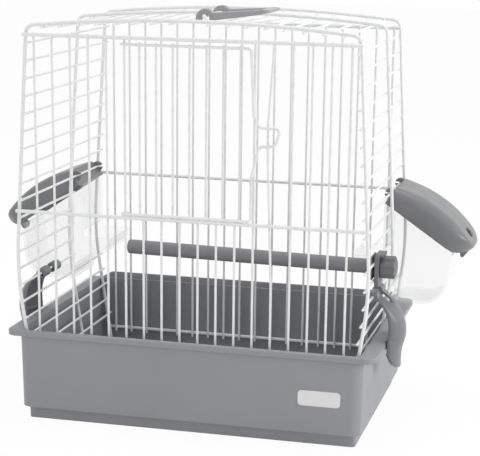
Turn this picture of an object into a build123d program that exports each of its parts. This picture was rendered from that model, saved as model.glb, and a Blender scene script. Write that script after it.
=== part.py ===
from build123d import *
from math import atan2, cos, degrees, hypot, radians, sin, sqrt, tan
import os

# Bird travel carrier: a wire cage on a moulded tray, with two clip-on feeders, a perch,
# a folding handle and two tray clips. Millimetres, +Z up, origin at the centre of the
# tray's underside. +Y points to the back, the door is on the -Y side.

# Wire stock
heavy_radius = 1.5
thin_radius = 1.0
door_frame_radius = 1.2
rail_radius = 1.3
weld_gap = 0.02
seat_gap = 0.3
pin_clearance = 0.06
grip_gap = 0.05

# Cage: three bent hoops carry every other wire
hoop_ys = (-97.0, 25.0, 97.0)
waist_half = 151.5
waist_z = 127.5
shoulder_half = 138.4
shoulder_z = 334.5
leg_taper = 0.1473
waist_bend = 300.0
shoulder_bend = 8.0
roof_spring_angle = 5.8
wire_overhang = 3.5

# Side wires, counted up and down from the wire that the feeders hang on
hook_wire_z = 190.5
side_pitch = 14.5
side_count_up = 9
port_wire_count = 5
side_count_low = 12
skipped_low_wire = 11

# Panels
bar_margin = 5.6092
bar_count = 18
panel_top_z = 327.5
panel_mid_z = 181.5
rear_mid_z = 183.2
panel_low_z = 31.5
bar_tail = 3.0
rear_bar_shift = 1.2
door_bay_first = 6
door_bay_last = 11
latch_bar = 13
latch_bar_bow = 4.3
latch_bar_flat = 18.0
latch_bar_foot_z = 132.0
latch_z = 253.5

# Roof
roof_wire_count = 8

# Tray
tray_height = 79.5
tray_side_play = 0.57
tray_end_play = 0.98
tray_wall = 2.5
tray_floor = 2.5
tray_taper = 1.0
tray_corner = 9.0
rim_height = 4.8
rim_side = 10.3
rim_end = 2.5
rim_edge_round = 1.2
foot_height = 11.4
foot_inset_side = 4.7
foot_inset_end = 6.4

# Door
door_bar_count = 7
door_top_z = 322.3
door_bottom_z = 184.4
door_side_gap = 2.75
door_running_gap = 0.3
door_side_step = 1.2
door_hinge_margin = 12.75
door_free_margin = 9.0
door_corner_bend = 3.0
eye_lead_share = 0.64
eye_bend_share = 0.98
nose_overhang = 6.75
nose_bend = 5.0
nose_crook_bend = 6.0
nose_tip_bend = 3.5
nose_height = 14.0
nose_root = 7.2
nose_hook = 4.5
nose_droop = 1.2

# Handle and its rail
rail_x = 3.5
rail_rise = 5.5
rail_front_y = -70.0
rail_back_y = -2.0
rail_foot_drop = 0.367
rail_shoulder = 6.3
handle_width = 57.5
handle_end_width = 40.0
handle_arm_width = 7.5
handle_reach = 54.6
handle_grip_depth = 9.0
handle_end_round = 5.0
grip_low = 3.9
grip_high = 6.6
arm_rise = 2.6
arm_top = 6.4
hook_outer_radius = 7.9
hook_inner_radius = 3.7
hook_clearance = 0.1
hook_leg_drop = 2.8
heel_drop = 1.1

# Perch
perch_y = -49.0
perch_z = 143.2
perch_radius = 6.1
perch_free_x = -68.0
perch_end_round = 1.8
flange_height = 20.0
shank_radius = 2.4
flange_thickness = 1.6
plate_thickness = 3.5
plate_width = 24.0
plate_low_z = 128.0
plate_high_z = 155.0
plate_corner = 3.0
plate_lip = 3.3
plate_lip_height = 2.2
knob_radius = 9.5
knob_length = 13.8
knob_crown = 22.0
knob_gap = 0.3
knob_lobes = 8
lobe_radius = 3.2

# Feeders
lid_slope = 34.0
lid_width = 66.4
lid_length = 87.3
lid_skirt = 9.0
lid_back = 1.4
lid_back_top = 6.9
lid_crest = 14.2
lid_tip_top = 4.3
lid_tip_low = 0.5
lid_upsweep = 16.0
lid_edge_round = 10.0
lid_corner_round = 25.0
lid_wall = 2.2
lid_ear_span = 57.0
lid_ear_width = 4.0
lid_ear_radius = 4.8
lid_ear_mouth = 205
lid_slot_length = 10.5
lid_slot_width = 7.6
lid_slot_place = 75.5
lid_catch_width = 10.0
lid_catch_drop = 13.6
lid_catch_root = 7.0
lid_catch_barb = 3.6
cup_width = 56.0
cup_wall = 2.0
cup_mouth_x = 200.5
cup_base_x = 196.0
cup_inner_x = 112.0
cup_divider_x = 140.0
cup_bottom_z = 93.5
cup_round = 22.0
cup_lip = 1.6
cup_lip_height = 2.2
trough_rim_z = 133.5
trough_depth = 14.0
trough_round = 8.0
divider_foot_z = 139.5

# Tray clips
clip_y = -36.0
clip_width = 38.0
clip_thickness = 3.1
clip_slot_width = 12.0
clip_slot_foot_z = 109.5
clip_tooth_width = 16.0
clip_ring_radius = 4.5
clip_ring_mouth = 240
clip_tooth_reach = 4.8
clip_tooth_back = 10.8
clip_crown_rise = 2.0
clip_crown_stand = 1.5
clip_crown_bow = 1.0
clip_shoulder_drops = (6.0, 15.0, 24.0)
clip_shoulder_stands = (-2.8, 2.6, 4.3)
clip_shoulder_bows = (3.2, 6.3, 8.6)
clip_fold_z = 80.0
clip_fold_stand = 4.1
clip_fold_bow = 9.8
clip_tab_drop = 9.0
clip_tab_stand = 3.5
clip_tab_bow = 8.0
clip_tip_z = 55.5
clip_tip_stand = 3.2
clip_tip_bow = 7.6
clip_tip_round = 15.0


# The corner of a sketch that lies nearest to a point.
def nearest(sketch, point):
    return sketch.vertices().sort_by_distance(point)[0]


# Straight round wire with square cut ends.
def straight_wire(start, end, radius):
    run = Vector(*end) - Vector(*start)
    return Solid.make_cylinder(radius, run.length, Plane(origin=start, z_dir=run))


# Round wire bent along a line of points, with one bend radius for each inner point.
def bent_wire(points, bends, radius):
    path = FilletPolyline(*points, radius=bends)
    start = Plane(origin=path @ 0, z_dir=path % 0)
    return sweep(start * Circle(radius), path=path)


# The leg of a hoop: two straights joined by one wide bend at the waist.
upper_lean = degrees(atan2(waist_half - shoulder_half, shoulder_z - waist_z))
lower_lean = degrees(atan2(leg_taper, 1))
waist_half_turn = (upper_lean + lower_lean) / 2
waist_reach = waist_bend / cos(radians(waist_half_turn))
waist_tilt = radians((upper_lean - lower_lean) / 2)
waist_centre_x = waist_half - waist_reach * cos(waist_tilt)
waist_centre_z = waist_z - waist_reach * sin(waist_tilt)


# Half width of the cage at a height, measured to a line set in from the leg's centre.
def leg_x(z, inset=0.0):
    bend = waist_bend - inset
    rise = z - waist_centre_z
    if rise > bend * sin(radians(upper_lean)):
        lean = upper_lean
        x = waist_half - (z - waist_z) * tan(radians(upper_lean))
    elif rise < -bend * sin(radians(lower_lean)):
        lean = lower_lean
        x = waist_half - (waist_z - z) * tan(radians(lower_lean))
    else:
        return waist_centre_x + sqrt(bend**2 - rise**2)
    return x - inset / cos(radians(lean))


# The legs stand on the ledge inside the tray.
tray_ledge_z = foot_height + tray_floor
foot_end_z = tray_ledge_z + seat_gap + heavy_radius * sin(radians(lower_lean))
foot_end_x = waist_half - (waist_z - foot_end_z) * leg_taper


# The roof springs from both shoulders and rises to a shallow crown. A short straight stays
# between each shoulder bend and the roof's arc.
spring_straight = 0.5
shoulder_turn = 90 - upper_lean - roof_spring_angle
shoulder_run = shoulder_bend * tan(radians(shoulder_turn / 2))
roof_run = shoulder_half / cos(radians(roof_spring_angle)) - shoulder_run
roof_run -= spring_straight
roof_radius = roof_run / tan(radians(roof_spring_angle))
apex_z = shoulder_z + shoulder_half * tan(radians(roof_spring_angle))
roof_centre_z = apex_z - roof_radius / cos(radians(roof_spring_angle))


def roof_z(x, inset=0.0):
    return roof_centre_z + sqrt((roof_radius - inset) ** 2 - x**2)


def hoop(y):
    half = [(foot_end_x, foot_end_z), (waist_half, waist_z), (shoulder_half, shoulder_z)]
    left = [(-x, y, z) for x, z in half]
    right = [(x, y, z) for x, z in reversed(half)]
    bends = [waist_bend, shoulder_bend, roof_radius, shoulder_bend, waist_bend]
    return bent_wire(left + [(0, y, apex_z)] + right, bends, heavy_radius)


# The bars of a panel are spread over its narrower end, at the shoulders or at the foot.
panel_half = min(shoulder_half, leg_x(panel_low_z))
bar_pitch = 2 * (panel_half - bar_margin) / (bar_count - 1)


def bar_x(index):
    return (index - (bar_count - 1) / 2) * bar_pitch


# Side wires lie inside the legs and run front to back.
cross_inset = heavy_radius + thin_radius + weld_gap
front_end_y = hoop_ys[0] - wire_overhang
mid_end_y = hoop_ys[1] + wire_overhang
rear_end_y = hoop_ys[2] + wire_overhang


def side_wire(side, step, end_y):
    z = hook_wire_z + step * side_pitch
    x = side * leg_x(z, cross_inset)
    return straight_wire((x, front_end_y, z), (x, end_y, z), thin_radius)


def side_wires(side, steps, end_y):
    return Compound([side_wire(side, step, end_y) for step in steps])


upper_steps = range(0, side_count_up + 1)
port_steps = range(-port_wire_count, 0)
lower_steps = [
    -step
    for step in range(port_wire_count + 1, side_count_low + 1)
    if step != skipped_low_wire
]


# Roof wires hang under the hoops, with none over the ridge.
def roof_wires():
    wires = []
    for step in range(1, roof_wire_count + 1):
        for side in (-1, 1):
            x = side * step * bar_pitch
            z = roof_z(x, cross_inset)
            start = (x, front_end_y, z)
            wires.append(straight_wire(start, (x, rear_end_y, z), thin_radius))
    return Compound(wires)


# Heavy cross wires lie on the outside of the end hoops, flush with the legs.
def cross_wire(z, hoop_y, outward):
    reach = leg_x(z) + heavy_radius
    y = hoop_y + outward * (2 * heavy_radius + weld_gap)
    return straight_wire((-reach, y, z), (reach, y, z), heavy_radius)


bar_offset = heavy_radius - thin_radius
front_bar_y = hoop_ys[0] - bar_offset
rear_bar_y = hoop_ys[2] + bar_offset
bar_top_z = panel_top_z + thin_radius
bar_low_z = panel_low_z - bar_tail


# The bar beside the door bows aside so that the latch nose can hook over it.
def latch_post():
    x = bar_x(latch_bar)
    bowed_x = x - latch_bar_bow
    points = [
        (x, front_bar_y, bar_top_z),
        (bowed_x, front_bar_y, latch_z + latch_bar_flat / 2),
        (bowed_x, front_bar_y, latch_z - latch_bar_flat / 2),
        (x, front_bar_y, latch_bar_foot_z),
        (x, front_bar_y, bar_low_z),
    ]
    return bent_wire(points, [8 * thin_radius] * 3, thin_radius)


def front_bars():
    bars = []
    for index in range(bar_count):
        if index == latch_bar:
            continue
        x = bar_x(index)
        in_door_bay = door_bay_first <= index <= door_bay_last
        top_z = panel_mid_z + thin_radius if in_door_bay else bar_top_z
        low = (x, front_bar_y, bar_low_z)
        bars.append(straight_wire(low, (x, front_bar_y, top_z), thin_radius))
    return Compound(bars)


def rear_bars():
    bars = []
    for index in range(bar_count):
        x = bar_x(index) + rear_bar_shift
        low = (x, rear_bar_y, bar_low_z)
        bars.append(straight_wire(low, (x, rear_bar_y, bar_top_z), thin_radius))
    return Compound(bars)


# Tray: drafted walls on a set-in foot, with a turned-out rim. The cage drops into it.
cage_end_y = hoop_ys[-1] + 3 * heavy_radius + weld_gap
tray_length = 2 * (leg_x(tray_height) + heavy_radius + tray_side_play + tray_wall)
tray_width = 2 * (cage_end_y + tray_end_play + tray_wall)


def tray_section(side_inset, end_inset, z):
    inset = tray_taper * (tray_height - z) / tray_height
    length = tray_length - 2 * (side_inset + inset)
    width = tray_width - 2 * (end_inset + inset)
    corner = tray_corner - (side_inset + end_inset) / 2
    return Pos(0, 0, z) * RectangleRounded(length, width, corner)


def tray_shell(side_inset, end_inset, low_z, high_z):
    low = tray_section(side_inset, end_inset, low_z)
    high = tray_section(side_inset, end_inset, high_z)
    return loft([low.face(), high.face()])


def base_tray():
    walls = tray_shell(0, 0, foot_height, tray_height)
    foot = tray_shell(foot_inset_side, foot_inset_end, 0, foot_height)
    rim_length = tray_length + 2 * rim_side
    rim_width = tray_width + 2 * rim_end
    rim = Pos(0, 0, tray_height - rim_height) * extrude(
        RectangleRounded(rim_length, rim_width, tray_corner), rim_height
    )
    rim = fillet(rim.edges().group_by(Axis.Z)[-1], rim_edge_round)
    rim = fillet(rim.edges().group_by(Axis.Z)[0], rim_edge_round / 2)
    well = tray_shell(tray_wall, tray_wall, tray_ledge_z, tray_height + 1)
    sump_side = foot_inset_side + tray_wall
    sump_end = foot_inset_end + tray_wall
    sump = tray_shell(sump_side, sump_end, tray_floor, tray_ledge_z)
    return walls + foot + rim - well - sump


# Door: a bent frame wire with bars behind it, hooked round its hinge bar. Its free side
# stops short of the bar beside it, and its nose reaches past the latch bar.
hinge_x = bar_x(door_bay_first - 1)
door_side_x = bar_x(door_bay_last + 1) - door_side_gap
nose_tip_x = bar_x(latch_bar) + nose_overhang
door_bar_span = door_side_x - hinge_x - door_hinge_margin - door_free_margin
door_frame_y = front_bar_y - thin_radius - door_frame_radius - door_running_gap
door_bar_y = door_frame_y + door_frame_radius + thin_radius + weld_gap


def door_frame():
    eye = front_bar_y - door_frame_y
    tip = (hinge_x + eye, front_bar_y + 0.3 * eye)
    back = front_bar_y + eye
    eye_corners = [tip, (hinge_x + eye, back), (hinge_x - eye, back)]
    eye_corners.append((hinge_x - eye, door_frame_y))
    top = [(x, y, door_top_z) for x, y in eye_corners]
    free_side = [
        (door_side_x, door_top_z),
        (door_side_x + 0.4 * nose_root, latch_z + 1.2 * nose_height),
        (door_side_x + nose_root, latch_z + nose_height / 2),
        (nose_tip_x, latch_z + nose_height / 2),
        (nose_tip_x - nose_hook, latch_z - nose_height / 2),
        (door_side_x + nose_root, latch_z - nose_height / 2 - nose_droop),
        (door_side_x + door_side_step, latch_z - 2.4 * nose_height),
        (door_side_x + door_side_step, door_bottom_z),
    ]
    side = [(x, door_frame_y, z) for x, z in free_side]
    bottom = [(x, y, door_bottom_z) for x, y in reversed(eye_corners)]
    eye_bend = eye_bend_share * eye
    eye_bends = [eye_lead_share * eye, eye_bend, eye_bend]
    nose_bends = [nose_crook_bend, nose_bend, nose_tip_bend, nose_tip_bend, nose_bend]
    side_bends = [door_corner_bend] + nose_bends + [4 * nose_bend, door_corner_bend]
    bends = eye_bends + side_bends + eye_bends[::-1]
    return bent_wire(top + side + bottom, bends, door_frame_radius)


def door_bars():
    bars = []
    for index in range(door_bar_count):
        x = hinge_x + door_hinge_margin + index * door_bar_span / (door_bar_count - 1)
        low = (x, door_bar_y, door_bottom_z - door_frame_radius)
        high = (x, door_bar_y, door_top_z + door_frame_radius)
        bars.append(straight_wire(low, high, thin_radius))
    return Compound(bars)


# Handle: two hooks over a rail, with arms that run together to a thin grip. The rail's
# feet lie between two roof wires.
rail_foot_z = roof_z(bar_pitch, cross_inset) - rail_foot_drop
rail_z = rail_foot_z + rail_rise


def handle_rail():
    foot_end_x = bar_pitch - thin_radius - grip_gap
    shoulder_x = rail_x + rail_shoulder
    foot = [(foot_end_x, rail_foot_z), (shoulder_x, rail_foot_z), (rail_x, rail_z)]
    front = [(x, rail_front_y, z) for x, z in foot]
    back = [(x, rail_back_y, z) for x, z in reversed(foot)]
    bend = 2 * rail_radius
    return bent_wire(front + back, [bend] * 4, rail_radius)


hook_z = rail_z + rail_radius + hook_clearance - hook_inner_radius
handle_y = (rail_front_y + rail_back_y) / 2


def handle_side():
    heel_z = hook_z - heel_drop
    heel_x = hook_outer_radius + 0.6
    grip_x = handle_reach - handle_grip_depth
    arm_z = rail_z + grip_low
    arms = Polyline(
        (hook_inner_radius, heel_z),
        (heel_x, heel_z),
        (grip_x + arm_rise, arm_z - arm_rise / 2),
        (grip_x + arm_rise, rail_z + arm_top),
        (hook_outer_radius - 1, rail_z + arm_rise),
        (hook_inner_radius, rail_z + arm_rise),
        close=True,
    )
    grip_height = grip_high - grip_low
    grip = Pos(handle_reach - handle_grip_depth / 2, arm_z + grip_height / 2)
    grip = grip * RectangleRounded(handle_grip_depth, grip_height, grip_height * 0.45)
    leg_width = hook_outer_radius - hook_inner_radius
    arch = Pos(0, hook_z) * Circle(hook_outer_radius)
    lower_half = Pos(0, hook_z - hook_outer_radius)
    arch -= lower_half * Rectangle(3 * hook_outer_radius, 2 * hook_outer_radius)
    leg = Pos(-hook_outer_radius + leg_width / 2, hook_z - hook_leg_drop / 2)
    leg = leg * Rectangle(leg_width, hook_leg_drop)
    mouth = Pos(0, hook_z) * Circle(hook_inner_radius)
    mouth += Pos(0, hook_z - hook_leg_drop) * Rectangle(
        2 * hook_inner_radius, 2 * hook_leg_drop
    )
    return make_face(arms) + grip + arch + leg - mouth


def handle_plan():
    half = handle_width / 2
    end_half = handle_end_width / 2
    back = -2 * hook_outer_radius
    inner_x = handle_reach - handle_grip_depth
    outer = Polyline(
        (back, -half),
        (hook_outer_radius, -half),
        (handle_reach, -end_half),
        (handle_reach, end_half),
        (hook_outer_radius, half),
        (back, half),
        close=True,
    )
    inner_half = half - handle_arm_width
    inner_end_half = end_half - handle_arm_width
    inner = Polyline(
        (back, -inner_half),
        (hook_outer_radius, -inner_half),
        (inner_x, -inner_end_half),
        (inner_x, inner_end_half),
        (hook_outer_radius, inner_half),
        (back, inner_half),
        close=True,
    )
    plan = make_face(outer)
    plan = fillet(plan.vertices().group_by(Axis.X)[-1], handle_end_round)
    opening = make_face(inner)
    opening = fillet(opening.vertices().group_by(Axis.X)[-1], handle_end_round * 0.6)
    return plan - opening


def handle():
    slab = extrude(Plane.XZ * handle_side(), handle_width / 2, both=True)
    column = extrude(handle_plan(), rail_z + handle_reach)
    return Pos(rail_x, handle_y, 0) * (slab & column)


# Perch: a rod with a screw shank that clamps two side wires to a plate and knob.
perch_wires = [leg_x(hook_wire_z - step * side_pitch, cross_inset) for step in (3, 4)]
flange_x = min(perch_wires) - thin_radius - grip_gap - flange_thickness
plate_x = max(perch_wires) + thin_radius + grip_gap
knob_x = plate_x + plate_thickness + knob_gap


def along_x(x, y, z):
    return Plane(origin=(x, y, z), x_dir=(0, 1, 0), z_dir=(1, 0, 0))


def perch_rod():
    start = along_x(perch_free_x, perch_y, perch_z)
    rod = extrude(start * Circle(perch_radius), flange_x - perch_free_x)
    rod = fillet(rod.edges().sort_by(Axis.X)[0], perch_end_round)
    foot = along_x(flange_x, perch_y, perch_z)
    flange = RectangleRounded(plate_width, flange_height, plate_corner)
    flange = extrude(foot * flange, flange_thickness)
    shank_end = knob_x + knob_length * 0.7
    shank = extrude(foot * Circle(shank_radius), shank_end - flange_x)
    return rod + flange + shank


def perch_plate():
    height = plate_high_z - plate_low_z
    middle_z = (plate_high_z + plate_low_z) / 2
    plate = along_x(plate_x, perch_y, middle_z)
    plate = extrude(
        plate * RectangleRounded(plate_width, height, plate_corner), plate_thickness
    )
    lip = Pos(plate_x + plate_thickness + plate_lip / 2, perch_y, plate_high_z)
    lip = lip * Pos(0, 0, -plate_lip_height / 2) * Box(
        plate_lip, plate_width - 2 * plate_corner, plate_lip_height
    )
    hole = along_x(plate_x - plate_thickness, perch_y, perch_z)
    hole = extrude(hole * Circle(shank_radius + pin_clearance), 3 * plate_thickness)
    return plate + lip - hole


# Knob: finger flutes round a crowned cap.
def perch_knob():
    start = along_x(knob_x, perch_y, perch_z)
    outline = Circle(knob_radius)
    for spot in PolarLocations(knob_radius + lobe_radius * 0.62, knob_lobes):
        outline -= spot * Circle(lobe_radius)
    knob = extrude(start * outline, knob_length)
    crown_x = knob_x + knob_length - knob_crown
    knob = knob & (Pos(crown_x, perch_y, perch_z) * Sphere(knob_crown))
    bore = start * Circle(shank_radius + pin_clearance)
    return knob - extrude(bore, knob_length * 0.75)


# Feeder parts are drawn for the right side and mirrored for the left.
feeder_y = (hoop_ys[1] + hoop_ys[2]) / 2
lid_hinge_x = leg_x(hook_wire_z, cross_inset)
lid_frame = Plane(
    origin=(lid_hinge_x, feeder_y, hook_wire_z),
    x_dir=(cos(radians(lid_slope)), 0, -sin(radians(lid_slope))),
    z_dir=(sin(radians(lid_slope)), 0, cos(radians(lid_slope))),
)

# In side view the top of the lid is one arc from its hinge to its tip.
lid_arc = ThreePointArc(
    (lid_back, lid_back_top),
    ((lid_back + lid_length) / 2, lid_crest),
    (lid_length, lid_tip_top),
)


# The crowned form of the lid, or of its hollow when it is set in by the wall.
def lid_form(inset):
    centre = lid_arc.arc_center
    half = lid_width / 2 - inset
    depth = 4 * lid_skirt
    across = Plane(origin=(centre.X, 0, centre.Y), x_dir=(0, 1, 0), z_dir=(1, 0, 0))
    section = Pos(0, lid_arc.radius - inset - depth / 2) * Rectangle(2 * half, depth)
    shoulders = section.vertices().group_by(Axis.Y)[-1]
    section = fillet(shoulders, lid_edge_round - inset)
    axis = Axis((centre.X, 0, centre.Y), (0, 1, 0))
    swing = 30
    crown = revolve((across * section).rotate(axis, -swing), axis, 2 * swing)
    back = lid_back + inset
    plan = Pos((back + lid_length - inset) / 2, 0) * Rectangle(
        lid_length - inset - back, 2 * half
    )
    corners = plan.vertices().group_by(Axis.X)[-1]
    plan = fillet(corners, lid_corner_round - inset)
    return crown & extrude(plan, 2 * depth, both=True)


# Side view of the room under the crown, down to the skirt and its swept-up tip.
def lid_side():
    sweep_start = (lid_length - lid_upsweep, -lid_skirt)
    tip = (lid_length, lid_tip_low)
    rise = TangentArc(sweep_start, tip, tangent=(1, 0))
    top_z = 2 * lid_crest
    rest = Polyline(tip, (lid_length, top_z), (0, top_z), (0, -lid_skirt), sweep_start)
    return make_face([rise, rest])


def lid_ear(y):
    ring = Circle(lid_ear_radius) + Pos(lid_ear_radius / 2, 0) * Rectangle(
        lid_ear_radius, lid_ear_radius * 1.6
    )
    mouth = Rot(0, 0, lid_ear_mouth) * Pos(lid_ear_radius, 0)
    mouth = mouth * Rectangle(2 * lid_ear_radius, 1.7 * thin_radius)
    ring = ring - Circle(thin_radius + pin_clearance) - mouth
    return extrude(Plane.XZ.offset(-y) * ring, lid_ear_width / 2, both=True)


# The catch hangs behind the tip, under the slot that it is moulded through.
def lid_catch():
    tip = lid_length - lid_wall / 2
    low = -lid_catch_drop
    outline = Polyline(
        (tip - 3, lid_tip_top - lid_wall / 2),
        (tip, lid_tip_low),
        (tip - 1.5, low + 0.6),
        (tip - 3.5, low),
        (tip - lid_catch_root, low + lid_catch_barb),
        (tip - 5.0, lid_tip_low),
        close=True,
    )
    return extrude(Plane.XZ * make_face(outline), lid_catch_width / 2, both=True)


def feeder_lid():
    outer = lid_form(0) & extrude(Plane.XZ * lid_side(), lid_width, both=True)
    lid = outer - lid_form(lid_wall)
    for side in (-1, 1):
        lid += lid_ear(side * lid_ear_span / 2)
    lean = atan2(lid_slot_place - lid_arc.arc_center.X, lid_arc.radius)
    slot = Rot(0, degrees(lean), 0) * extrude(
        Rot(0, 0, 90) * SlotOverall(lid_slot_length, lid_slot_width), lid_skirt, both=True
    )
    slot = Pos(lid_slot_place, 0, lid_back_top) * slot
    return lid_frame * (lid - slot + lid_catch())


# Clear cup: a hopper outside the cage that feeds a trough inside it.
sill_z = hook_wire_z - (port_wire_count + 1) * side_pitch + thin_radius + seat_gap
sill_x = leg_x(sill_z, cross_inset) + thin_radius


# Height of the cup's sloping rim, just under the closed lid.
def cup_rim_z(x):
    slope = radians(lid_slope)
    drop = (lid_skirt + seat_gap) / cos(slope)
    return hook_wire_z - drop - (x - lid_hinge_x) * tan(slope)


def feeder_cup():
    step_x = sill_x + seat_gap + cup_wall
    outer_rim_z = cup_rim_z(cup_mouth_x)
    trough_low = (cup_inner_x + trough_depth / 2, trough_rim_z - trough_depth)
    outside = Polyline(
        (cup_inner_x, trough_rim_z),
        trough_low,
        (cup_divider_x, sill_z + cup_wall),
        (step_x, sill_z),
        (step_x + cup_wall / 2, cup_bottom_z),
        (cup_base_x, cup_bottom_z),
        (cup_mouth_x, outer_rim_z),
        (cup_divider_x, cup_rim_z(cup_divider_x)),
        (cup_divider_x, trough_rim_z),
        close=True,
    )
    floor_z = cup_bottom_z + cup_wall
    inner_base_x = cup_base_x - cup_wall
    inner_low = (trough_low[0] + cup_wall * 0.8, trough_low[1] + cup_wall)
    above = 4 * cup_wall
    inside = Polyline(
        (cup_inner_x + cup_wall, trough_rim_z + above),
        (cup_inner_x + cup_wall, trough_rim_z),
        inner_low,
        (cup_divider_x + cup_wall / 2, sill_z + 2 * cup_wall),
        (step_x + cup_wall, sill_z + cup_wall),
        (step_x + 1.5 * cup_wall, floor_z),
        (inner_base_x, floor_z),
        (cup_mouth_x - cup_wall, outer_rim_z),
        (cup_mouth_x - cup_wall, outer_rim_z + above),
        (cup_divider_x + cup_wall, cup_rim_z(cup_divider_x) + above),
        (cup_divider_x + cup_wall, divider_foot_z),
        (cup_divider_x, divider_foot_z),
        (cup_divider_x, trough_rim_z + above),
        close=True,
    )
    hull = make_face(outside)
    hull = fillet(nearest(hull, (cup_base_x, cup_bottom_z)), cup_round)
    hull = fillet(nearest(hull, trough_low), trough_round)
    hollow = make_face(inside)
    hollow = fillet(nearest(hollow, (inner_base_x, floor_z)), cup_round - cup_wall)
    hollow = fillet(nearest(hollow, inner_low), trough_round - cup_wall)
    lip_z = cup_rim_z(cup_mouth_x + cup_lip) - cup_lip_height / 2
    lip = Pos(cup_mouth_x, lip_z) * Rectangle(2 * cup_lip, cup_lip_height)
    shape = extrude(Plane.XZ * (hull + lip), cup_width / 2, both=True)
    cavity = extrude(Plane.XZ * hollow, cup_width / 2 - cup_wall, both=True)
    return Pos(0, feeder_y, 0) * (shape - cavity)


# Tray clip: a strap on two open rings, with a tooth that hooks under the tray's rim.
clip_wire_z = hook_wire_z - port_wire_count * side_pitch
clip_wire_x = leg_x(clip_wire_z, cross_inset)
rim_edge_x = tray_length / 2 + rim_side
rim_low_z = tray_height - rim_height


# Across the strap its face bows out between two straight edges.
def strap_section(z, edge_x, bow):
    half = clip_width / 2
    front, back = (edge_x, -half), (edge_x, half)
    reach = edge_x + bow * 4 / 3
    outer = Bezier(front, (reach, -half * 0.7), (reach, half * 0.7), back)
    thickness = Location((-clip_thickness, 0, 0))
    inner = outer.moved(thickness)
    ends = [Line(outer @ 0, inner @ 0), Line(outer @ 1, inner @ 1)]
    return Pos(0, 0, z) * make_face([outer, inner] + ends)


# The strap falls from the wire, stands off the rim and folds in to a thumb tab.
def clip_strap():
    crown_x = clip_wire_x + clip_crown_stand
    upper = [strap_section(clip_wire_z + clip_crown_rise, crown_x, clip_crown_bow)]
    shoulder = zip(clip_shoulder_drops, clip_shoulder_stands, clip_shoulder_bows)
    for drop, stand, bow in shoulder:
        upper.append(strap_section(clip_wire_z - drop, rim_edge_x + stand, bow))
    fold = strap_section(clip_fold_z, rim_edge_x + clip_fold_stand, clip_fold_bow)
    upper.append(fold)
    tab_x = rim_edge_x + clip_tab_stand
    lower = [
        fold,
        strap_section(clip_fold_z - clip_tab_drop, tab_x, clip_tab_bow),
        strap_section(clip_tip_z, rim_edge_x + clip_tip_stand, clip_tip_bow),
    ]
    return loft([face.face() for face in upper]) + loft([face.face() for face in lower])


def tray_clip():
    centre = Pos(clip_wire_x, clip_wire_z)
    ring = extrude(Plane.XZ * centre * Circle(clip_ring_radius), clip_width / 2, both=True)
    mouth = centre * Rot(0, 0, clip_ring_mouth) * Pos(clip_ring_radius, 0)
    mouth = mouth * Rectangle(2 * clip_ring_radius, 1.7 * thin_radius)
    cut = mouth + centre * Circle(thin_radius + pin_clearance)
    cut = extrude(Plane.XZ * cut, clip_width, both=True)
    tall = 2 * (clip_wire_z - clip_tip_z)
    front = Pos(0, clip_tip_z + tall / 2) * Rectangle(clip_width, tall)
    front = fillet(front.vertices().group_by(Axis.Y)[0], clip_tip_round)
    slot = Pos(0, clip_slot_foot_z + tall / 2)
    slot = slot * RectangleRounded(clip_slot_width, tall, clip_slot_width * 0.49)
    across = Plane(origin=(0, 0, 0), x_dir=(0, 1, 0), z_dir=(1, 0, 0))
    outline = extrude(across * (front - slot), 2 * rim_edge_x)
    body = (clip_strap() + ring - cut) & outline
    tooth_bow = hypot(rim_edge_x - clip_wire_x, clip_wire_z - rim_low_z) + seat_gap
    tooth = centre * (Circle(tooth_bow + clip_thickness) - Circle(tooth_bow))
    reach = clip_tooth_reach + clip_tooth_back
    window = Pos(rim_edge_x - clip_tooth_reach + reach / 2, rim_low_z)
    tooth = tooth & (window * Rectangle(reach, rim_side * 2))
    catch = extrude(Plane.XZ * tooth, clip_tooth_width / 2, both=True)
    return Pos(0, clip_y, 0) * (body + catch)


def mirrored(solid):
    return mirror(solid, Plane.YZ)


os.makedirs("parts", exist_ok=True)


def save(name, shape):
    export_step(shape, f"parts/{name}.step")


save("base_tray", base_tray())
for name, y in zip(("front_hoop", "middle_hoop", "rear_hoop"), hoop_ys):
    save(name, hoop(y))
for side_name, side in (("left", -1), ("right", 1)):
    save(f"side_wires_{side_name}_upper", side_wires(side, upper_steps, rear_end_y))
    save(f"side_wires_{side_name}_port", side_wires(side, port_steps, mid_end_y))
    save(f"side_wires_{side_name}_lower", side_wires(side, lower_steps, rear_end_y))
save("roof_wires", roof_wires())
front_heights = (panel_low_z, panel_mid_z, panel_top_z)
rear_heights = (panel_low_z, rear_mid_z, panel_top_z)
front_cross = [cross_wire(z, hoop_ys[0], -1) for z in front_heights]
rear_cross = [cross_wire(z, hoop_ys[2], 1) for z in rear_heights]
save("front_cross_wires", Compound(front_cross))
save("rear_cross_wires", Compound(rear_cross))
save("front_bars", front_bars())
save("latch_bar", latch_post())
save("rear_bars", rear_bars())
save("door_frame", door_frame())
save("door_bars", door_bars())
save("handle_rail", handle_rail())
save("handle", handle())
save("perch_rod", perch_rod())
save("perch_plate", perch_plate())
save("perch_knob", perch_knob())
lid = feeder_lid()
cup = feeder_cup()
clip = tray_clip()
save("feeder_lid_right", lid)
save("feeder_lid_left", mirrored(lid))
save("feeder_cup_right", cup)
save("feeder_cup_left", mirrored(cup))
save("tray_clip_right", clip)
save("tray_clip_left", mirrored(clip))
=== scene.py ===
import bpy
import bmesh
from math import cos, exp, hypot, radians, sin, tan
from mathutils import Matrix, Vector


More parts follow.
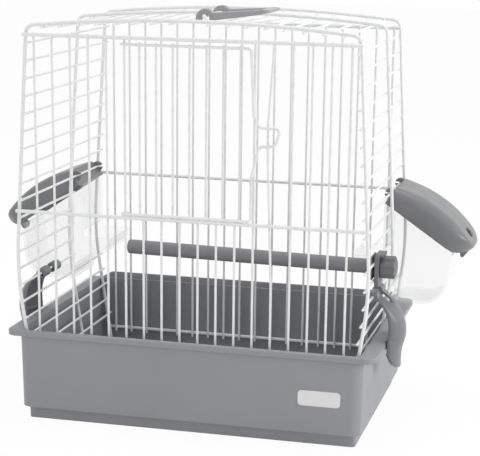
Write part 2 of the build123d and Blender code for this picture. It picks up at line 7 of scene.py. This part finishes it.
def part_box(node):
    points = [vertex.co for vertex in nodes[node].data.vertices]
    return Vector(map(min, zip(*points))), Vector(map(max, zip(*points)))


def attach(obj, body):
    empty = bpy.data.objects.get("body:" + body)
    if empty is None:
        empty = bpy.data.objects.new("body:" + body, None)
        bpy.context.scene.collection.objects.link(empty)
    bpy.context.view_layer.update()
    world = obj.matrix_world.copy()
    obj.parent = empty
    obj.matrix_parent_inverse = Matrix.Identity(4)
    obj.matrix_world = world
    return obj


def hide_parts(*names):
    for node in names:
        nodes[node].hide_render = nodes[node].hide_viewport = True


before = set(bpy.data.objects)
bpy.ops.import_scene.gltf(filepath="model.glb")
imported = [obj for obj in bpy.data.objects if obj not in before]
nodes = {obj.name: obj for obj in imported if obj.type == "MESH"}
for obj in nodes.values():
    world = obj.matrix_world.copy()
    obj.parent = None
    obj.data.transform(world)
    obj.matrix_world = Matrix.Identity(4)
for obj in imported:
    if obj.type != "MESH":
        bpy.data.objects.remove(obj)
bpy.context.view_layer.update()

mm = 0.001
print("carrier loaded,", len(nodes), "nodes")


# an empty material with a principled shader on its output
def newMaterial(name):
    mat = bpy.data.materials.new(name)
    mat.use_nodes = True
    tree = mat.node_tree
    tree.nodes.clear()
    out = tree.nodes.new("ShaderNodeOutputMaterial")
    bsdf = tree.nodes.new("ShaderNodeBsdfPrincipled")
    tree.links.new(bsdf.outputs["BSDF"], out.inputs["Surface"])
    return mat, tree, bsdf


def objectCoords(tree):
    return tree.nodes.new("ShaderNodeTexCoord").outputs["Object"]


def noiseFac(tree, coord, scale, detail=3.0, rough=0.5):
    noise = tree.nodes.new("ShaderNodeTexNoise")
    noise.inputs["Scale"].default_value = scale
    noise.inputs["Detail"].default_value = detail
    noise.inputs["Roughness"].default_value = rough
    tree.links.new(coord, noise.inputs["Vector"])
    return noise.outputs["Fac"]


def rampColour(tree, fac, stops):
    ramp = tree.nodes.new("ShaderNodeValToRGB")
    ramp.color_ramp.elements[0].position = stops[0][0]
    ramp.color_ramp.elements[0].color = stops[0][1]
    ramp.color_ramp.elements[1].position = stops[-1][0]
    ramp.color_ramp.elements[1].color = stops[-1][1]
    for place, colour in stops[1:-1]:
        ramp.color_ramp.elements.new(place).color = colour
    tree.links.new(fac, ramp.inputs["Fac"])
    return ramp.outputs["Color"]


# fine relief in the surface from a height between 0 and 1
def relief(tree, bsdf, height, strength, depth):
    bump = tree.nodes.new("ShaderNodeBump")
    bump.inputs["Strength"].default_value = strength
    bump.inputs["Distance"].default_value = depth
    tree.links.new(height, bump.inputs["Height"])
    tree.links.new(bump.outputs["Normal"], bsdf.inputs["Normal"])


def rgba(colour, gain=1.0):
    return tuple(min(1.0, c * gain) for c in colour) + (1,)


# what all the moulded plastics share: the noise band over which colour and polish change,
# how much finer the polish varies than the colour, and how deep the grain is
mouldSkin = {"bandLow": 0.3, "bandHigh": 0.7, "polishScale": 2.3, "grainDepth": 0.2 * mm,
             "ior": 1.5}


# moulded plastic: slow mottle in the colour, fine spark grain, uneven polish
def mouldedPlastic(name, look):
    mat, tree, bsdf = newMaterial(name)
    coord = objectCoords(tree)
    bandLow, bandHigh = mouldSkin["bandLow"], mouldSkin["bandHigh"]
    cloud = noiseFac(tree, coord, look["cloudScale"], detail=4.0)
    low = rgba(look["colour"], 1 - look["spread"])
    high = rgba(look["colour"], 1 + look["spread"])
    colour = rampColour(tree, cloud, [(bandLow, low), (bandHigh, high)])
    tree.links.new(colour, bsdf.inputs["Base Color"])
    polish = noiseFac(tree, coord, look["cloudScale"] * mouldSkin["polishScale"])
    bright = rgba([look["roughness"] - look["roughSpread"]] * 3)
    dull = rgba([look["roughness"] + look["roughSpread"]] * 3)
    rough = rampColour(tree, polish, [(bandLow, bright), (bandHigh, dull)])
    tree.links.new(rough, bsdf.inputs["Roughness"])
    grain = noiseFac(tree, coord, look["grainScale"], detail=2.0)
    relief(tree, bsdf, grain, look["grain"], mouldSkin["grainDepth"])
    bsdf.inputs["IOR"].default_value = mouldSkin["ior"]
    return mat


plasticLooks = {
    "tray": {
        "colour": (0.290, 0.296, 0.306), "spread": 0.03, "cloudScale": 9.0,
        "roughness": 0.42, "roughSpread": 0.05, "grainScale": 1500.0, "grain": 0.12,
    },
    "lid": {
        "colour": (0.188, 0.190, 0.195), "spread": 0.035, "cloudScale": 26.0,
        "roughness": 0.34, "roughSpread": 0.05, "grainScale": 1900.0, "grain": 0.08,
    },
    "clip": {
        "colour": (0.180, 0.182, 0.188), "spread": 0.035, "cloudScale": 40.0,
        "roughness": 0.34, "roughSpread": 0.05, "grainScale": 1900.0, "grain": 0.08,
    },
    "handle": {
        "colour": (0.345, 0.347, 0.354), "spread": 0.035, "cloudScale": 40.0,
        "roughness": 0.34, "roughSpread": 0.05, "grainScale": 1900.0, "grain": 0.08,
    },
    "perch": {
        "colour": (0.205, 0.206, 0.212), "spread": 0.05, "cloudScale": 45.0,
        "roughness": 0.45, "roughSpread": 0.06, "grainScale": 1300.0, "grain": 0.18,
    },
    "knob": {
        "colour": (0.155, 0.156, 0.161), "spread": 0.05, "cloudScale": 45.0,
        "roughness": 0.42, "roughSpread": 0.06, "grainScale": 1300.0, "grain": 0.15,
    },
    "plate": {
        "colour": (0.80, 0.80, 0.80), "spread": 0.02, "cloudScale": 60.0,
        "roughness": 0.35, "roughSpread": 0.04, "grainScale": 1800.0, "grain": 0.05,
    },
}
plastics = {}
for part, look in plasticLooks.items():
    plastics[part] = mouldedPlastic(part + "Plastic", look)

coatLook = {
    "colour": (0.875, 0.878, 0.882),
    "thinPatch": (0.80, 0.805, 0.812),
    "thinUpTo": 0.28,
    "fullFrom": 0.45,
    "patchScale": 160.0,
    "roughness": 0.30,
    "orangePeel": 0.25,
    "peelScale": 900.0,
    "peelDepth": 0.1 * mm,
    "ior": 1.48,
}


# dipped white coating: greyer where it ran thin, with a faint orange-peel skin
def coatedWire():
    mat, tree, bsdf = newMaterial("whiteCoating")
    coord = objectCoords(tree)
    patch = noiseFac(tree, coord, coatLook["patchScale"])
    colour = rampColour(tree, patch, [
        (coatLook["thinUpTo"], rgba(coatLook["thinPatch"])),
        (coatLook["fullFrom"], rgba(coatLook["colour"])),
        (1.0, rgba(coatLook["colour"])),
    ])
    tree.links.new(colour, bsdf.inputs["Base Color"])
    bsdf.inputs["Roughness"].default_value = coatLook["roughness"]
    skin = noiseFac(tree, coord, coatLook["peelScale"], detail=2.0)
    relief(tree, bsdf, skin, coatLook["orangePeel"], coatLook["peelDepth"])
    bsdf.inputs["IOR"].default_value = coatLook["ior"]
    return mat


whiteCoating = coatedWire()

cupLook = {
    "colour": (0.93, 0.94, 0.95),
    "flowShade": 0.97,      # how dark the flow marks are against the colour
    "flowScale": 30.0,
    "roughness": 0.06,
    "faceAlpha": 0.045,
    "edgeAlpha": 0.42,
    "edgeBlend": 0.24,
    "ripple": 0.08,
    "rippleScale": 60.0,
    "rippleDepth": 0.3 * mm,
    "ior": 1.5,
}


# clear styrene: almost nothing face on, milky where the eye runs along a wall
def clearCup():
    mat, tree, bsdf = newMaterial("clearStyrene")
    coord = objectCoords(tree)
    flow = noiseFac(tree, coord, cupLook["flowScale"])
    colour = rampColour(tree, flow, [
        (0.3, rgba(cupLook["colour"], cupLook["flowShade"])),
        (0.7, rgba(cupLook["colour"])),
    ])
    tree.links.new(colour, bsdf.inputs["Base Color"])
    bsdf.inputs["Roughness"].default_value = cupLook["roughness"]
    bsdf.inputs["IOR"].default_value = cupLook["ior"]
    rim = tree.nodes.new("ShaderNodeLayerWeight")
    rim.inputs["Blend"].default_value = cupLook["edgeBlend"]
    milk = tree.nodes.new("ShaderNodeMapRange")
    milk.inputs["To Min"].default_value = cupLook["faceAlpha"]
    milk.inputs["To Max"].default_value = cupLook["edgeAlpha"]
    tree.links.new(rim.outputs["Facing"], milk.inputs["Value"])
    tree.links.new(milk.outputs["Result"], bsdf.inputs["Alpha"])
    ripple = noiseFac(tree, coord, cupLook["rippleScale"], detail=2.0)
    relief(tree, bsdf, ripple, cupLook["ripple"], cupLook["rippleDepth"])
    return mat


clearStyrene = clearCup()

# any node not named here is coated wire
finishOf = {
    "base_tray": plastics["tray"],
    "handle": plastics["handle"],
    "perch_rod": plastics["perch"],
    "perch_plate": plastics["knob"],
    "perch_knob": plastics["knob"],
}
for side in ("left", "right"):
    finishOf["feeder_lid_" + side] = plastics["lid"]
    finishOf["feeder_cup_" + side] = clearStyrene
    finishOf["tray_clip_" + side] = plastics["clip"]


def dress(node, mat):
    if not node.material_slots:
        node.data.materials.append(None)
    for slotted in node.material_slots:
        slotted.link = "OBJECT"
        slotted.material = mat


for name, node in nodes.items():
    dress(node, finishOf.get(name, whiteCoating))
print("finishes are on the nodes")


# turns a bmesh into a piece that rides on a body and takes a finish slot
def makePiece(name, bm, mat, body):
    mesh = bpy.data.meshes.new(name)
    bm.to_mesh(mesh)
    bm.free()
    mesh.shade_smooth()
    piece = bpy.data.objects.new(name, mesh)
    bpy.context.scene.collection.objects.link(piece)
    mesh.materials.append(mat)
    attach(piece, body)
    return piece


# the separate wires of a node, each as its lowest and highest corner
def wiresOf(nodeName):
    bm = bmesh.new()
    bm.from_mesh(nodes[nodeName].data)
    bmesh.ops.remove_doubles(bm, verts=bm.verts, dist=1e-6)
    seen = set()
    wires = []
    for first in bm.verts:
        if first in seen:
            continue
        group = [first]
        seen.add(first)
        for vert in group:
            for edge in vert.link_edges:
                other = edge.other_vert(vert)
                if other not in seen:
                    seen.add(other)
                    group.append(other)
        low = Vector([min(v.co[i] for v in group) for i in range(3)])
        high = Vector([max(v.co[i] for v in group) for i in range(3)])
        wires.append((low, high))
    bm.free()
    return wires


sideNodes = [name for name in nodes if name.startswith("side_wires")]
latchRadius = 1.0 * mm      # the latch bar bows outward, so its box doesn't give this

weld = {
    "along": 1.9 * mm,      # half length of a bead along its wire
    "across": 1.25 * mm,
    "deep": 0.85 * mm,
    "heavyAlong": 2.1 * mm,
    "cornerSize": 1.7 * mm,
    "barReach": 1.0 * mm,   # a bar this short of a cross wire is still welded to it
    "cornerInset": 1.5 * mm,
    "doorInset": 1.2 * mm,
}


# one squashed bead, with its three half lengths
def addBead(bm, centre, size):
    made = bmesh.ops.create_icosphere(bm, subdivisions=2, radius=1.0)
    place = Matrix.Translation(centre) @ Matrix.Diagonal(Vector(size)).to_4x4()
    bmesh.ops.transform(bm, matrix=place, verts=made["verts"])


# the y places of the three hoops, read off the hoops themselves
def hoopMiddles():
    middles = []
    for name in ("front_hoop", "middle_hoop", "rear_hoop"):
        low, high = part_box(name)
        middles.append((low[1] + high[1]) / 2)
    return middles


# side wires on the hoop legs
def sideWelds(bm, hoops):
    size = (weld["deep"], weld["along"], weld["across"])
    for name in sideNodes:
        for low, high in wiresOf(name):
            radius = (high.z - low.z) / 2
            side = 1 if low.x > 0 else -1
            x = (low.x + high.x) / 2 + side * radius
            z = (low.z + high.z) / 2
            for y in hoops:
                if low.y < y < high.y:
                    addBead(bm, (x, y, z), size)


# roof wires under the hoops
def roofWelds(bm, hoops):
    size = (weld["across"], weld["along"], weld["deep"])
    for low, high in wiresOf("roof_wires"):
        for y in hoops:
            addBead(bm, ((low.x + high.x) / 2, y, high.z), size)


# upright bars on the cross wires of both end panels
def barWelds(bm):
    size = (weld["across"], weld["deep"], weld["heavyAlong"])
    for barName, crossName, side in (("front_bars", "front_cross_wires", -1),
                                     ("latch_bar", "front_cross_wires", -1),
                                     ("rear_bars", "rear_cross_wires", 1)):
        heights = [(low.z + high.z) / 2 for low, high in wiresOf(crossName)]
        for low, high in wiresOf(barName):
            x = (low.x + high.x) / 2
            if barName == "latch_bar":
                x = high.x - latchRadius
            y = low.y if side < 0 else high.y
            for z in heights:
                if low.z - weld["barReach"] < z < high.z + weld["barReach"]:
                    addBead(bm, (x, y, z), size)


# cross wires on the legs of the end hoops
def cornerWelds(bm):
    big = weld["cornerSize"]
    for crossName, hoopName, side in (("front_cross_wires", "front_hoop", -1),
                                      ("rear_cross_wires", "rear_hoop", 1)):
        hoopLow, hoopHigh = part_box(hoopName)
        y = hoopLow[1] if side < 0 else hoopHigh[1]
        for low, high in wiresOf(crossName):
            for x in (low.x + weld["cornerInset"], high.x - weld["cornerInset"]):
                addBead(bm, (x, y, (low.z + high.z) / 2), (big, weld["across"], big))


# where the resistance welds squeezed out a little metal under the coating
def cageWelds():
    bm = bmesh.new()
    hoops = hoopMiddles()
    sideWelds(bm, hoops)
    roofWelds(bm, hoops)
    barWelds(bm)
    cornerWelds(bm)
    return makePiece("cageWelds", bm, whiteCoating, "carrier")


def doorWelds():
    bm = bmesh.new()
    size = (weld["across"], weld["deep"], weld["along"])
    frameLow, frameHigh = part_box("door_frame")
    for low, high in wiresOf("door_bars"):
        for z in (frameLow[2] + weld["doorInset"], frameHigh[2] - weld["doorInset"]):
            addBead(bm, ((low.x + high.x) / 2, low.y, z), size)
    return makePiece("doorWelds", bm, whiteCoating, "door")


cageWelds()
doorWelds()
print("weld beads made")

drop = {"proud": 0.75 * mm, "swell": 1.06}


# the coating gathers in a rounded drop over each cut wire end
def addDrop(bm, centre, axis, radius):
    made = bmesh.ops.create_uvsphere(bm, u_segments=12, v_segments=6, radius=1.0)
    wide = radius * drop["swell"]
    size = [wide, wide, wide]
    size[axis] = drop["proud"]
    place = Matrix.Translation(centre) @ Matrix.Diagonal(Vector(size)).to_4x4()
    bmesh.ops.transform(bm, matrix=place, verts=made["verts"])


def wireEnds(name, nodeNames, axis, body):
    bm = bmesh.new()
    for nodeName in nodeNames:
        for low, high in wiresOf(nodeName):
            middle = (low + high) / 2
            other = (axis + 1) % 3
            radius = (high[other] - low[other]) / 2
            if nodeName == "latch_bar":
                radius = latchRadius
                middle.x = high.x - radius
            for end in (low[axis], high[axis]):
                spot = middle.copy()
                spot[axis] = end
                addDrop(bm, spot, axis, radius)
    return makePiece(name, bm, whiteCoating, body)


wireEnds("lengthwiseEnds", sideNodes + ["roof_wires"], 1, "carrier")
wireEnds("crossEnds", ["front_cross_wires", "rear_cross_wires"], 0, "carrier")
wireEnds("barEnds", ["front_bars", "rear_bars", "latch_bar"], 2, "carrier")
wireEnds("doorBarEnds", ["door_bars"], 2, "door")
print("wire ends rounded")

# voxel is in mm; more passes make rounder edges
easing = {
    "lid": {"slot": "grey_lid", "voxel": 0.55, "passes": 7},
    "clip": {"slot": "grey_clip", "voxel": 0.4, "passes": 3},
    "handle": {"slot": "grey_handle", "voxel": 0.36, "passes": 5},
    "perchEnd": {"slot": "grey_perch", "voxel": 0.32, "passes": 4},
    "perchRod": {"slot": "grey_perch", "voxel": 0.5, "passes": 3},
}
# each eased moulding with its body and its easing
mouldings = {
    "feeder_lid_left": ("lid_left", "lid"),
    "feeder_lid_right": ("lid_right", "lid"),
    "tray_clip_left": ("clip_left", "clip"),
    "tray_clip_right": ("clip_right", "clip"),
    "handle": ("carry_handle", "handle"),
    "perch_plate": ("carrier", "perchEnd"),
    "perch_knob": ("perch_screw_knob", "perchEnd"),
    "perch_rod": ("carrier", "perchRod"),
}


# gives a piece the mesh that its modifiers make, and takes the modifiers off
def settle(piece):
    depsgraph = bpy.context.evaluated_depsgraph_get()
    mesh = bpy.data.meshes.new_from_object(piece.evaluated_get(depsgraph))
    piece.modifiers.clear()
    piece.data = mesh
    mesh.shade_smooth()
    return mesh


perchLift = {"rise": 3.0 * mm, "from": 130.0 * mm}


# the rod's free end stands a little higher; its clamp end and shank stay where they are
def liftFreeEnd(mesh):
    span = perchLift["from"] - min(v.co.x for v in mesh.vertices)
    for vert in mesh.vertices:
        share = max(0.0, (perchLift["from"] - vert.co.x) / span)
        vert.co.z += perchLift["rise"] * share


tuck = {"from": 8.0 * mm, "shorter": 3.0 * mm, "lower": 1.2 * mm}


# the grip stops a little short and droops slightly from its arms
def tuckGrip(mesh):
    reach = max(v.co.x for v in mesh.vertices) - tuck["from"]
    for vert in mesh.vertices:
        share = max(0.0, (vert.co.x - tuck["from"]) / reach)
        vert.co.x -= tuck["shorter"] * share
        vert.co.z -= tuck["lower"] * share


ridge = {"turns": 240, "rimKeep": 4.5 * mm, "earKeep": 13.0 * mm, "blend": 5.0 * mm,
         "slope": 34.0}


# share of the broad rounding at each point of a lid: none along its rim or at its ears
def ridgeWeights(piece, side):
    lean = radians(ridge["slope"])
    slope = tan(lean)
    points = [v.co for v in piece.data.vertices]
    hingeX = min(side * p.x for p in points)
    rim = min(p.z + slope * side * p.x for p in points)
    group = piece.vertex_groups.new(name="ridge")
    for vert in piece.data.vertices:
        height = (vert.co.z + slope * side * vert.co.x - rim) * cos(lean)
        share = (height - ridge["rimKeep"]) / ridge["blend"]
        reach = (side * vert.co.x - hingeX - ridge["earKeep"]) / ridge["blend"]
        group.add([vert.index], max(0.0, min(1.0, share, reach)), "REPLACE")


def roundRidge(piece, side):
    ridgeWeights(piece, side)
    relax = piece.modifiers.new("ridge", "SMOOTH")
    relax.factor = 0.5
    relax.iterations = ridge["turns"]
    relax.vertex_group = "ridge"
    settle(piece)


fold = {"z": 80.0 * mm, "step": 0.3 * mm, "run": 0.5 * mm, "crease": 0.8 * mm,
        "creaseHalf": 0.75 * mm}


# the outer face of a clip's strap steps in at the fold, with a crease along it; the inner
# face stays, clear of the tray's rim
def stepAtFold(mesh, side):
    facing = [max(0.0, side * vert.normal.x) for vert in mesh.vertices]
    for vert, outward in zip(mesh.vertices, facing):
        below = max(0.0, min(1.0, (fold["z"] - vert.co.z) / fold["run"]))
        away = (vert.co.z - fold["z"]) / fold["creaseHalf"]
        sunk = fold["step"] * below + fold["crease"] * exp(-away * away)
        vert.co.x -= side * outward * sunk


# each bore that turns on a wire or shank: the two axes across it, its centre and radius
# in mm, and for a blind one the x at which the shank ends in it
bores = {
    "feeder_lid_left": {"axes": (0, 2), "centre": (-144.988, 190.5), "radius": 1.09},
    "feeder_lid_right": {"axes": (0, 2), "centre": (144.988, 190.5), "radius": 1.09},
    "tray_clip_left": {"axes": (0, 2), "centre": (-146.771, 118.0), "radius": 1.09},
    "tray_clip_right": {"axes": (0, 2), "centre": (146.771, 118.0), "radius": 1.09},
    "perch_knob": {"axes": (1, 2), "centre": (-49.0, 143.2), "radius": 2.50,
                   "endX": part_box("perch_rod")[1][0]},
}


# easing a moulding draws its bore in, so the bore is opened again to its running fit
def openBore(mesh, bore):
    axisA, axisB = bore["axes"]
    centreA, centreB = (place * mm for place in bore["centre"])
    radius = bore["radius"] * mm
    for vert in mesh.vertices:
        if "endX" in bore and vert.co.x > bore["endX"]:
            continue
        a = vert.co[axisA] - centreA
        b = vert.co[axisB] - centreB
        away = hypot(a, b)
        if 0 < away < radius:
            vert.co[axisA] += a * (radius / away - 1)
            vert.co[axisB] += b * (radius / away - 1)


# a moulding with its sharp edges eased, made by remeshing and relaxing a copy of the node
def easedMoulding(nodeName, body, look):
    piece = bpy.data.objects.new(nodeName + "_soft", nodes[nodeName].data.copy())
    bpy.context.scene.collection.objects.link(piece)
    remesh = piece.modifiers.new("fine", "REMESH")
    remesh.mode = "VOXEL"
    remesh.voxel_size = look["voxel"] * mm
    relax = piece.modifiers.new("ease", "SMOOTH")
    relax.factor = 0.5
    relax.iterations = look["passes"]
    mesh = settle(piece)
    mesh.materials.clear()
    mesh.materials.append(finishOf[nodeName])
    side = 1 if nodeName.endswith("right") else -1
    if nodeName == "perch_rod":
        liftFreeEnd(mesh)
    if nodeName == "handle":
        tuckGrip(mesh)
    if nodeName.startswith("feeder_lid"):
        roundRidge(piece, side)
    if nodeName.startswith("tray_clip"):
        stepAtFold(mesh, side)
    if nodeName in bores:
        openBore(piece.data, bores[nodeName])
    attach(piece, body)
    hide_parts(nodeName)
    return piece


for nodeName, (body, look) in mouldings.items():
    easedMoulding(nodeName, body, easing[look])
print("mouldings eased")

# lengths in mm, angles in degrees; the tray's front wall starts wallBack behind its rim
# and draws in by wallDraw from top to bottom
plate = {"width": 35.6, "height": 13.0, "corner": 3.0, "thick": 0.5, "round": 0.18,
         "x": 113.7, "z": 41.5, "lean": 0.72, "wallBack": 2.5, "wallDraw": 1.0,
         "offWall": 0.05, "sharpFrom": 35}


def roundedOutline(width, height, corner, steps=6):
    points = []
    for cx, cz, start in ((1, 1, 0), (-1, 1, 90), (-1, -1, 180), (1, -1, 270)):
        for i in range(steps + 1):
            a = radians(start + 90 * i / steps)
            points.append((cx * (width / 2 - corner) + corner * cos(a),
                           cz * (height / 2 - corner) + corner * sin(a)))
    return points


# a small blank white plate on the front wall of the tray
def namePlate():
    bm = bmesh.new()
    outline = roundedOutline(plate["width"], plate["height"], plate["corner"])
    back = [bm.verts.new((x, 0, z)) for x, z in outline]
    front = [bm.verts.new((x, -plate["thick"], z)) for x, z in outline]
    bm.faces.new(back)
    bm.faces.new(list(reversed(front)))
    for i in range(len(outline)):
        j = (i + 1) % len(outline)
        bm.faces.new((back[j], back[i], front[i], front[j]))
    edges = [e for e in bm.edges if all(v in front for v in e.verts)]
    bmesh.ops.bevel(bm, geom=edges, offset=plate["round"], segments=2, affect="EDGES")
    bmesh.ops.recalc_face_normals(bm, faces=bm.faces)
    trayLow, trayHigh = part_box("base_tray")
    height = trayHigh[2] / mm
    drawnIn = plate["wallDraw"] * (height - plate["z"]) / height
    wallY = trayLow[1] / mm + plate["wallBack"] + drawnIn
    tilt = Matrix.Rotation(radians(-plate["lean"]), 4, "X")
    spot = (plate["x"], wallY - plate["offWall"], plate["z"])
    bm.transform(Matrix.Scale(mm, 4) @ (Matrix.Translation(spot) @ tilt))
    piece = makePiece("namePlate", bm, plastics["plate"], "carrier")
    piece.data.set_sharp_from_angle(angle=radians(plate["sharpFrom"]))
    return piece


namePlate()
print("name plate made")

# lengths in mm; the section is outward offsets and height shares, with a rounded crest
lip = {"height": 5.6, "thick": 1.6, "edgeGap": 0.3, "ramp": 12.0, "rampSteps": 6,
       "cornerGap": 13.0, "sink": 0.5, "sharpFrom": 40,
       "section": [(-0.5, 0.0), (-0.5, 0.82), (-0.34, 0.96), (0.0, 1.0), (0.34, 0.96),
                   (0.5, 0.82), (0.5, 0.0)]}


# the line of the lip along the back edge, each stop with its share of the full height
def lipStops(halfX):
    ends = halfX - lip["cornerGap"]
    rise = [i / lip["rampSteps"] for i in range(lip["rampSteps"] + 1)]
    stops = [(-ends + lip["ramp"] * t, sin(radians(90 * t))) for t in rise]
    return stops + [(-x, share) for x, share in reversed(stops)]


# a thin raised lip stands on the tray's flange along the back, low at both ends
def trayLip():
    trayHigh = [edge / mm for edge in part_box("base_tray")[1]]
    middleY = trayHigh[1] - lip["edgeGap"] - lip["thick"] / 2
    bm = bmesh.new()
    rings = []
    for x, share in lipStops(trayHigh[0]):
        tall = lip["sink"] + lip["height"] * share
        ring = []
        for out, up in lip["section"]:
            z = trayHigh[2] - lip["sink"] + up * tall
            ring.append(bm.verts.new(Vector((x, middleY + out * lip["thick"], z)) * mm))
        rings.append(ring)
    count = len(lip["section"])
    for near, far in zip(rings, rings[1:]):
        for i in range(count):
            j = (i + 1) % count
            bm.faces.new((near[i], near[j], far[j], far[i]))
    bm.faces.new(rings[0])
    bm.faces.new(list(reversed(rings[-1])))
    bmesh.ops.recalc_face_normals(bm, faces=bm.faces)
    piece = makePiece("trayLip", bm, plastics["tray"], "carrier")
    piece.data.set_sharp_from_angle(angle=radians(lip["sharpFrom"]))
    return piece


trayLip()
print("tray lip made")

studio = {
    "worldStrength": 0.55,
    "aim": (0, 0, 0.15),
    "key": {"power": 11.8, "size": 0.8, "place": (1.7, -0.15, 0.65)},
    "fill": {"power": 4.4, "size": 1.2, "place": (-1.2, -1.3, 0.9)},
    "top": {"power": 11.5, "size": 1.2, "place": (0.1, 0.2, 1.9)},
}


# 1 for what the camera sees directly, in a gloss or through the clear plastic
def seenRays(tree):
    path = tree.nodes.new("ShaderNodeLightPath")
    glossy = tree.nodes.new("ShaderNodeMath")
    glossy.operation = "MAXIMUM"
    tree.links.new(path.outputs["Is Camera Ray"], glossy.inputs[0])
    tree.links.new(path.outputs["Is Glossy Ray"], glossy.inputs[1])
    through = tree.nodes.new("ShaderNodeMath")
    through.operation = "MAXIMUM"
    tree.links.new(glossy.outputs[0], through.inputs[0])
    tree.links.new(path.outputs["Is Transmission Ray"], through.inputs[1])
    return through.outputs[0]


floorLook = {"colour": (0.98, 0.98, 0.98), "roughness": 0.9, "whiteShare": 0.955,
             "reach": 6.0, "below": 0.4 * mm}


# pale floor: mostly plain white to the eye, still taking a soft shadow
def floorMaterial():
    mat, tree, bsdf = newMaterial("studioFloor")
    bsdf.inputs["Base Color"].default_value = rgba(floorLook["colour"])
    bsdf.inputs["Roughness"].default_value = floorLook["roughness"]
    glow = tree.nodes.new("ShaderNodeEmission")
    glow.inputs["Color"].default_value = (1, 1, 1, 1)
    glow.inputs["Strength"].default_value = 1.0
    share = tree.nodes.new("ShaderNodeMath")
    share.operation = "MULTIPLY"
    share.inputs[1].default_value = floorLook["whiteShare"]
    tree.links.new(seenRays(tree), share.inputs[0])
    mix = tree.nodes.new("ShaderNodeMixShader")
    out = [n for n in tree.nodes if n.type == "OUTPUT_MATERIAL"][0]
    tree.links.new(share.outputs[0], mix.inputs["Fac"])
    tree.links.new(bsdf.outputs["BSDF"], mix.inputs[1])
    tree.links.new(glow.outputs["Emission"], mix.inputs[2])
    tree.links.new(mix.outputs["Shader"], out.inputs["Surface"])
    return mat


def floorPlane():
    bm = bmesh.new()
    bmesh.ops.create_grid(bm, x_segments=2, y_segments=2, size=floorLook["reach"])
    mesh = bpy.data.meshes.new("floor")
    bm.to_mesh(mesh)
    bm.free()
    floor = bpy.data.objects.new("floor", mesh)
    bpy.context.scene.collection.objects.link(floor)
    floor.location.z = -floorLook["below"]
    mesh.materials.append(floorMaterial())


# an even light from all round, which the camera sees as plain white
def studioWorld():
    world = bpy.data.worlds.new("studio")
    bpy.context.scene.world = world
    world.use_nodes = True
    tree = world.node_tree
    tree.nodes.clear()
    out = tree.nodes.new("ShaderNodeOutputWorld")
    light = tree.nodes.new("ShaderNodeBackground")
    light.inputs["Color"].default_value = (1, 1, 1, 1)
    light.inputs["Strength"].default_value = studio["worldStrength"]
    seen = tree.nodes.new("ShaderNodeBackground")
    seen.inputs["Color"].default_value = (1, 1, 1, 1)
    seen.inputs["Strength"].default_value = 1.0
    mix = tree.nodes.new("ShaderNodeMixShader")
    tree.links.new(seenRays(tree), mix.inputs["Fac"])
    tree.links.new(light.outputs[0], mix.inputs[1])
    tree.links.new(seen.outputs[0], mix.inputs[2])
    tree.links.new(mix.outputs[0], out.inputs["Surface"])


def softLamp(name):
    look = studio[name]
    lamp = bpy.data.lights.new(name, "AREA")
    lamp.energy = look["power"]
    lamp.size = look["size"]
    holder = bpy.data.objects.new(name, lamp)
    bpy.context.scene.collection.objects.link(holder)
    holder.location = Vector(look["place"])
    aim = Vector(studio["aim"]) - Vector(look["place"])
    holder.rotation_euler = aim.to_track_quat("-Z", "Y").to_euler()


floorPlane()
studioWorld()
for lampName in ("key", "fill", "top"):
    softLamp(lampName)

# place, focal length and sensor in mm; yaw, pitch and roll in radians
lens = {"place": (352.0, -1297.4, 428.2), "yaw": 0.2413, "pitch": 0.2643, "roll": 0.0147,
        "focal": 116.62, "sensor": 36, "shiftX": -0.0301, "shiftY": 0.2124,
        "seesTo": 30}       # in metres


def aimedCamera():
    data = bpy.data.cameras.new("viewer")
    data.sensor_width = lens["sensor"]
    data.sensor_fit = "HORIZONTAL"
    data.lens = lens["focal"]
    data.shift_x = lens["shiftX"]
    data.shift_y = lens["shiftY"]
    data.clip_end = lens["seesTo"]
    yaw, pitch, roll = lens["yaw"], lens["pitch"], lens["roll"]
    forward = Vector((-sin(yaw) * cos(pitch), cos(yaw) * cos(pitch), -sin(pitch)))
    right = Vector((cos(yaw), sin(yaw), 0))
    up = right.cross(forward)
    across = cos(roll) * right + sin(roll) * up
    upward = -sin(roll) * right + cos(roll) * up
    turn = Matrix((across, upward, -forward)).transposed().to_4x4()
    camera = bpy.data.objects.new("viewer", data)
    camera.matrix_world = Matrix.Translation(Vector(lens["place"]) * mm) @ turn
    bpy.context.scene.collection.objects.link(camera)
    bpy.context.scene.camera = camera


aimedCamera()
bpy.context.scene.view_settings.view_transform = "Standard"
print("studio and camera set")
